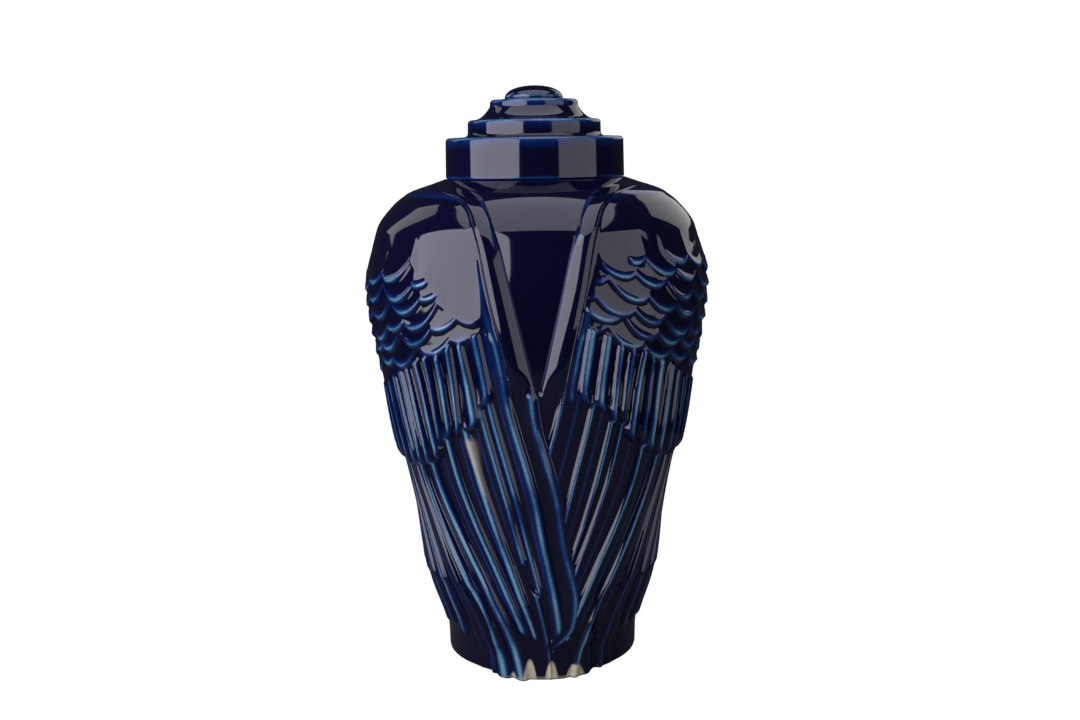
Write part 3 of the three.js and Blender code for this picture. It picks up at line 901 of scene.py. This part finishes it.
def column_angle(u, z, side):
    """Angle of a wing's column at a height, outward from the front."""
    angle = flow(u, z) + (lobe_edge(z) - LOBE_FOOT) * (1 - smooth(LOBE_START, LOBE_BACK, u))
    share = np.clip((u + OVERLAP_START) / OVERLAP_START, 0.0, 1.0)
    hidden = flow(-OVERLAP_START, z) - HIDDEN_SHIFT * smooth(*HIDDEN_SPAN, z)
    first = front_edge(z) if side < 0 else hidden
    first = mix(first, panel_edge(z), smooth(*COLUMN_JOIN, z))
    near = mix(first, flow(0.0, z) + lobe_edge(z) - LOBE_FOOT, share)
    upper = mix(panel_edge(z), lobe_edge(z) - COLUMN_INSET, share)
    return np.where(u < 0, mix(near, upper, smooth(*COLUMN_UPPER, z)), angle)


def row_height(a, j):
    """Height of row j at angle a. The rows bunch along the feather tips."""
    tips = np.full_like(a, TIP_LINE * BODY_H)
    primaries = np.full_like(a, PRIMARY_LINE * BODY_H)
    shoulder = np.full_like(a, SHOULDER_LINE * BODY_H)
    rim = np.full_like(a, BODY_H)
    marks = [np.zeros_like(a), tips, primaries, covert_edge(a), scale_edge(a), shoulder, rim]
    first = 0
    for k, count in enumerate(ROW_COUNTS):
        if j <= first + count:
            return mix(marks[k], marks[k + 1], (j - first) / count)
        first += count
    return rim


def wing_grid(side):
    """Angle and height of every point of a wing's grid."""
    columns = wing_columns()
    rows = sum(ROW_COUNTS) + 1
    angle = np.empty((rows, len(columns)))
    z = np.empty_like(angle)
    for j in range(rows):
        a = columns
        for _ in range(ROW_PASSES):
            z[j] = row_height(np.maximum(COVERT_SPAN[0], np.abs(a)), j)
            a = column_angle(columns, z[j], side)
        angle[j] = a
    return angle, z


def ring_points(phi, r, z):
    a = phi * DEG
    return np.stack([r * np.sin(a), -r * np.cos(a), z], axis=-1).reshape(-1, 3) * MM


def make_mesh(name, points, faces, **attributes):
    mesh = bpy.data.meshes.new(name)
    mesh.from_pydata(points.tolist(), [], faces)
    for key, values in attributes.items():
        layer = mesh.attributes.new(key, "FLOAT", "POINT")
        layer.data.foreach_set("value", np.asarray(values, dtype=np.float32))
    mesh.polygons.foreach_set("use_smooth", [True] * len(mesh.polygons))
    mesh.update()
    piece = bpy.data.objects.new(name, mesh)
    bpy.context.scene.collection.objects.link(piece)
    return piece


def inner_skin(rows, columns):
    """Triangles that close a sheet from inside, on a coarser grid that keeps every border point."""
    keep = []
    for j in range(rows):
        on_edge = j in (0, rows - 1)
        for i in range(columns):
            border = on_edge or i in (0, columns - 1)
            if border or (j % SKIN_STRIDE == 0 and i % SKIN_STRIDE == 0):
                keep.append((j, i, border))
    flat = [Vector((i, j)) for j, i, _ in keep]
    result = delaunay_2d_cdt(flat, [], [], 0, 1e-6)
    faces = [tuple(result[3][v][0] for v in face) for face in result[2]]
    return keep, faces


def make_wing(name, side):
    """One folded wing as a closed shell whose edges are sunk into the body."""
    psi, z = wing_grid(side)
    thick, pale, clay = finish_wing(psi, z, side)
    phi = side * psi
    rows, n = psi.shape
    points = ring_points(phi, body_radius(z) + thick, z)
    faces = []
    for j in range(rows - 1):
        for i in range(n - 1):
            a = j * n + i
            faces.append((a, a + 1, a + n + 1, a + n) if side > 0 else (a + 1, a, a + n, a + n + 1))
    keep, skin = inner_skin(rows, n)
    index = []
    extra = []
    for j, i, border in keep:
        if border:
            index.append(j * n + i)
        else:
            index.append(rows * n + len(extra))
            extra.append((phi[j, i], body_radius(z[j, i]) - SKIN_DEPTH, z[j, i]))
    extra = np.array(extra)
    points = np.concatenate([points, ring_points(extra[:, 0], extra[:, 1], extra[:, 2])])
    for a, b, c in skin:
        faces.append((index[a], index[c], index[b]) if side > 0 else (index[a], index[b], index[c]))
    zeros = np.zeros(len(extra))
    pale = np.concatenate([pale.reshape(-1), zeros])
    clay = np.concatenate([clay.reshape(-1), zeros])
    return make_mesh(name, points, faces, pale=pale, clay=clay)


def turned(name, profile, sides):
    """A turned shape from points of radius, height and glaze break that start and end near the axis."""
    angles = np.arange(sides) * 360 / sides
    points = [ring_points(angles, np.full(sides, r), np.full(sides, z)) for r, z, _ in profile]
    faces = []
    for j in range(len(profile) - 1):
        a = j * sides
        for i in range(sides):
            k = (i + 1) % sides
            faces.append((a + i, a + k, a + sides + k, a + sides + i))
    faces.append(tuple(range(sides))[::-1])
    last = (len(profile) - 1) * sides
    faces.append(tuple(range(last, last + sides)))
    pale = np.concatenate([np.full(sides, glow) for _, _, glow in profile])
    return make_mesh(name, np.concatenate(points), faces, pale=pale, clay=np.zeros(len(pale)))


def make_vessel():
    """The plain hollow vessel under the wings."""
    points = [(AXIS_R, 0.0)]
    points += [(FOOT_R - inset, z) for inset, z in FOOT_BEVEL]
    for z in np.arange(VESSEL_START, BODY_H - VESSEL_END, VESSEL_PITCH):
        points.append((float(body_radius(z)), z))
    points += [(SEAT_R - inset, BODY_H - drop) for inset, drop in SEAT_BEVEL]
    points += [(MOUTH_R + MOUTH_BEVEL, BODY_H), (MOUTH_R, BODY_H - MOUTH_BEVEL), (MOUTH_R, BODY_H - WALL)]
    for share in VESSEL_INSIDE:
        z = share * BODY_H
        slope = float(body_radius(z + 0.5) - body_radius(z - 0.5))
        norm = math.hypot(1, slope)
        points.append((float(body_radius(z)) - WALL / norm, z + WALL * slope / norm))
    points.append((FOOT_R - WALL - FLOOR_CORNER, FLOOR + FLOOR_CORNER))
    points += [(FOOT_R - 2 * WALL, FLOOR), (AXIS_R, FLOOR)]
    return turned("vessel", [(r, z, 0.0) for r, z in points], VESSEL_SIDES)


def lid_edges():
    """Edges of the lid where the glaze breaks: radius, height, reach, paleness."""
    return [
        (COLLAR_R - 0.4, LID_Z + 0.8, 0.9, 0.55),
        (COLLAR_R - 0.5, LEDGE_Z - 0.6, 1.5, 0.66),
        (COLLAR_R - 0.5, LEDGE_Z - 1.4, 4.2, 0.36),
        (TIER_R - 0.5, TIER_Z - 0.6, 1.5, 0.66),
        (TIER_R - 0.5, TIER_Z - 1.2, 3.4, 0.36),
        (CROWN_R - 0.5, CROWN_TOP - 0.6, 1.5, 0.62),
        (CROWN_R - 0.5, CROWN_TOP - 1.2, 3.2, 0.36),
        (KNOB_R - 0.3, CROWN_TOP + 1.6, 1.0, 0.7),
    ]


def lid_break(r, z):
    """Glaze break of the lid at a radius and height."""
    pale = 0.0
    for edge_r, edge_z, reach, strength in lid_edges():
        away = math.hypot(r - edge_r, z - edge_z) / reach
        pale = max(pale, strength * math.exp(-away * away))
    return pale


def lid_outside():
    """Outside of the lid from its flange to the top of the knob: radius and height."""
    points = []

    def line(start, end, count):
        for i in range(count):
            t = i / count
            points.append((mix(start[0], end[0], t), mix(start[1], end[1], t)))

    def arc(r, z, radius, start, end, count):
        for i in range(count):
            a = mix(start, end, i / (count - 1)) * DEG
            points.append((r + radius * math.cos(a), z + radius * math.sin(a)))

    # Flange, collar and ledge
    line((FLANGE_R, LID_Z - FLANGE_DEPTH), (FLANGE_R, LID_Z), 4)
    line((FLANGE_R, LID_Z), (COLLAR_R - COLLAR_FOOT - SEAM, LID_Z), 3)
    arc(COLLAR_R - COLLAR_FOOT, LID_Z + COLLAR_FOOT, COLLAR_FOOT, -90, 0, 7)
    low = (COLLAR_R, LID_Z + COLLAR_FOOT + 2 * SEAM)
    line(low, (COLLAR_R - COLLAR_LEAN, LEDGE_Z - COLLAR_ROUND - 2 * SEAM), 16)
    arc(COLLAR_R - COLLAR_ROUND - COLLAR_LEAN, LEDGE_Z - COLLAR_ROUND - SEAM, COLLAR_ROUND, 0, 90, 11)
    line((COLLAR_R - LEDGE_INSET, LEDGE_Z - SEAM), (TIER_R + LEDGE_INSET, LEDGE_Z + 2 * SEAM), 6)

    # Tier and cove
    arc(TIER_R + TIER_FILLET, LEDGE_Z + TIER_FILLET + 2 * SEAM, TIER_FILLET, 270, 180, 7)
    low = (TIER_R, LEDGE_Z + TIER_FILLET + 4 * SEAM)
    line(low, (TIER_R - SEAM, TIER_Z - TIER_ROUND - SEAM), 8)
    arc(TIER_R - TIER_ROUND - SEAM, TIER_Z - TIER_ROUND, TIER_ROUND, 0, 84, 10)
    for i in range(COVE_POINTS):
        t = (i + 1) / (COVE_POINTS + 1)
        z = TIER_Z + COVE_LIFT + COVE_H * t ** COVE_UP
        points.append((mix(COVE_R + COVE_FOOT, CROWN_R, t ** COVE_IN), z))

    # Crown and knob
    line((CROWN_R, CROWN_Z + 2 * SEAM), (CROWN_R - SEAM, CROWN_TOP - CROWN_ROUND - SEAM), 4)
    arc(CROWN_R - CROWN_ROUND - SEAM, CROWN_TOP - CROWN_ROUND, CROWN_ROUND, 0, 85, 9)
    groove_r = KNOB_R + 3 * SEAM
    line((CROWN_R - CROWN_ROUND - 3 * SEAM, CROWN_TOP), (groove_r, CROWN_TOP + SEAM), 4)
    arc(groove_r, CROWN_TOP + KNOB_GROOVE + SEAM, KNOB_GROOVE, 270, 180, 4)
    dome = LID_TOP - CROWN_TOP - KNOB_STEP
    for i in range(KNOB_POINTS):
        a = 90 * i / KNOB_POINTS * DEG
        points.append((KNOB_R * math.cos(a) ** KNOB_ROUND, CROWN_TOP + KNOB_STEP + dome * math.sin(a)))
    points.append((AXIS_R, LID_TOP))
    return points


def lid_inside():
    """The hollow under the lid, from the axis down to the flange: radius and height."""
    bore = FLANGE_R - FLANGE_WALL
    dome = CROWN_R - WALL
    return [
        (AXIS_R, CROWN_TOP - WALL),
        (dome, CROWN_TOP - WALL - 1),
        (dome, CROWN_Z - WALL / 2),
        (TIER_R - WALL, TIER_Z - WALL),
        (TIER_R - WALL, LEDGE_Z - WALL + 2),
        (COLLAR_R - WALL - 2, LEDGE_Z - WALL),
        (COLLAR_R - WALL, LEDGE_Z - WALL - 2),
        (COLLAR_R - WALL, LID_Z + WALL + 2),
        (bore, LID_Z + WALL * 0.6),
        (bore, LID_Z - FLANGE_DEPTH),
    ]


def make_lid():
    profile = [(r, z, 0.0) for r, z in lid_inside()]
    profile += [(r, z, lid_break(r, z)) for r, z in lid_outside()]
    return turned("lid_glazed", profile, LID_SIDES)


def glaze_material():
    """Cobalt glaze that breaks to pale blue on the ridges and leaves a few spots of clay bare."""
    mat = bpy.data.materials.new("cobalt_glaze")
    mat.use_nodes = True
    nodes = mat.node_tree.nodes
    links = mat.node_tree.links
    shader = nodes["Principled BSDF"]

    def attribute(name):
        node = nodes.new("ShaderNodeAttribute")
        node.attribute_name = name
        return node.outputs["Fac"]

    def maths(operation, first, second, third=None):
        node = nodes.new("ShaderNodeMath")
        node.operation = operation
        node.use_clamp = True
        for socket, value in zip(node.inputs, (first, second, third)):
            if isinstance(value, float):
                socket.default_value = value
            elif value is not None:
                links.new(value, socket)
        return node.outputs[0]

    def noise(scale, detail, stretch):
        coords = nodes.new("ShaderNodeTexCoord")
        mapping = nodes.new("ShaderNodeMapping")
        mapping.inputs["Scale"].default_value = stretch
        links.new(coords.outputs["Object"], mapping.inputs["Vector"])
        node = nodes.new("ShaderNodeTexNoise")
        node.inputs["Scale"].default_value = scale
        node.inputs["Detail"].default_value = detail
        links.new(mapping.outputs[0], node.inputs["Vector"])
        return node.outputs["Fac"]

    # The glaze breaks by the value on the mesh, with a fine speckle and a slow drift
    speckle = maths("MULTIPLY_ADD", noise(*SPECKLE), SPECKLE_GAIN, SPECKLE_OFFSET)
    drift = maths("MULTIPLY_ADD", noise(*DRIFT), DRIFT_GAIN, DRIFT_OFFSET)
    strength = maths("MULTIPLY", speckle, drift)
    broken = maths("MULTIPLY", attribute("pale"), maths("ADD", strength, BREAK_LEAST))
    ramp = nodes.new("ShaderNodeValToRGB")
    stops = ramp.color_ramp.elements
    for stop, (position, colour) in zip(stops, (GLAZE_STOPS[0], GLAZE_STOPS[-1])):
        stop.position = position
        stop.color = colour
    for position, colour in GLAZE_STOPS[1:-1]:
        stops.new(position).color = colour
    links.new(broken, ramp.inputs["Fac"])

    # Bare clay is matt and takes the place of the glaze
    clay = nodes.new("ShaderNodeMix")
    clay.data_type = "RGBA"
    links.new(attribute("clay"), clay.inputs["Factor"])
    links.new(ramp.outputs["Color"], clay.inputs[6])
    clay.inputs[7].default_value = CLAY
    links.new(clay.outputs[2], shader.inputs["Base Color"])
    rough = nodes.new("ShaderNodeMapRange")
    rough.inputs["To Min"].default_value = GLAZE_ROUGH
    rough.inputs["To Max"].default_value = CLAY_ROUGH
    links.new(attribute("clay"), rough.inputs["Value"])
    links.new(rough.outputs[0], shader.inputs["Roughness"])
    shader.inputs["IOR"].default_value = GLAZE_IOR
    return mat


def area_light(name, place, target, size, power, colour, shape):
    data = bpy.data.lights.new(name, "AREA")
    data.shape = shape
    data.size, data.size_y = size
    data.energy = power
    data.color = colour
    lamp = bpy.data.objects.new(name, data)
    lamp.location = place
    direction = Vector(target) - Vector(place)
    lamp.rotation_euler = direction.to_track_quat("-Z", "Y").to_euler()
    bpy.context.scene.collection.objects.link(lamp)


def white_to_camera(tree, kind, light, output):
    """The surface looks evenly white to the camera, and lights the glaze as another shader does."""
    white = tree.nodes.new(kind)
    white.inputs["Color"].default_value = WHITE
    white.inputs["Strength"].default_value = WHITE_STRENGTH
    path = tree.nodes.new("ShaderNodeLightPath")
    choose = tree.nodes.new("ShaderNodeMixShader")
    tree.links.new(path.outputs["Is Camera Ray"], choose.inputs["Fac"])
    tree.links.new(light, choose.inputs[1])
    tree.links.new(white.outputs[0], choose.inputs[2])
    tree.links.new(choose.outputs[0], tree.nodes[output].inputs["Surface"])


def make_floor():
    """A round pale table top, a little wider than the urn is tall."""
    angles = np.arange(FLOOR_SIDES) * 360 / FLOOR_SIDES
    points = ring_points(angles, np.full(FLOOR_SIDES, FLOOR_R), np.zeros(FLOOR_SIDES))
    mesh = bpy.data.meshes.new("floor")
    mesh.from_pydata(points.tolist(), [], [tuple(range(FLOOR_SIDES))])
    floor = bpy.data.objects.new("floor", mesh)
    bpy.context.scene.collection.objects.link(floor)
    mat = bpy.data.materials.new("floor_white")
    mat.use_nodes = True
    shader = mat.node_tree.nodes["Principled BSDF"]
    shader.inputs["Base Color"].default_value = FLOOR_GREY
    shader.inputs["Roughness"].default_value = FLOOR_ROUGH
    white_to_camera(mat.node_tree, "ShaderNodeEmission", shader.outputs[0], "Material Output")
    mesh.materials.append(mat)


def make_world():
    world = bpy.data.worlds.new("studio")
    bpy.context.scene.world = world
    world.use_nodes = True
    sky = world.node_tree.nodes["Background"]
    sky.inputs["Color"].default_value = ROOM
    white_to_camera(world.node_tree, "ShaderNodeBackground", sky.outputs[0], "World Output")


def make_camera():
    data = bpy.data.cameras.new("camera")
    data.sensor_width = CAMERA_SENSOR
    data.lens = CAMERA_LENS
    camera = bpy.data.objects.new("camera", data)
    camera.location = CAMERA_PLACE
    camera.rotation_euler = (math.radians(90 - CAMERA_DOWN), 0.0, 0.0)
    camera.rotation_mode = "XYZ"
    camera.rotation_euler.rotate_axis("Z", math.radians(CAMERA_ROLL))
    bpy.context.scene.collection.objects.link(camera)
    bpy.context.scene.camera = camera


glaze = glaze_material()
pieces = [
    (make_vessel(), "urn_body", "body_glaze"),
    (make_wing("left_wing", -1), "urn_body", "body_glaze"),
    (make_wing("right_wing", 1), "urn_body", "body_glaze"),
    (make_lid(), "lid", "lid_glaze"),
]
for piece, node, slot in pieces:
    piece.data.materials.append(glaze)
    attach(piece, "root")
    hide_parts(node)

make_floor()
make_world()
make_camera()
for light in LIGHTS:
    area_light(*light)

bpy.context.scene.view_settings.view_transform = "Standard"
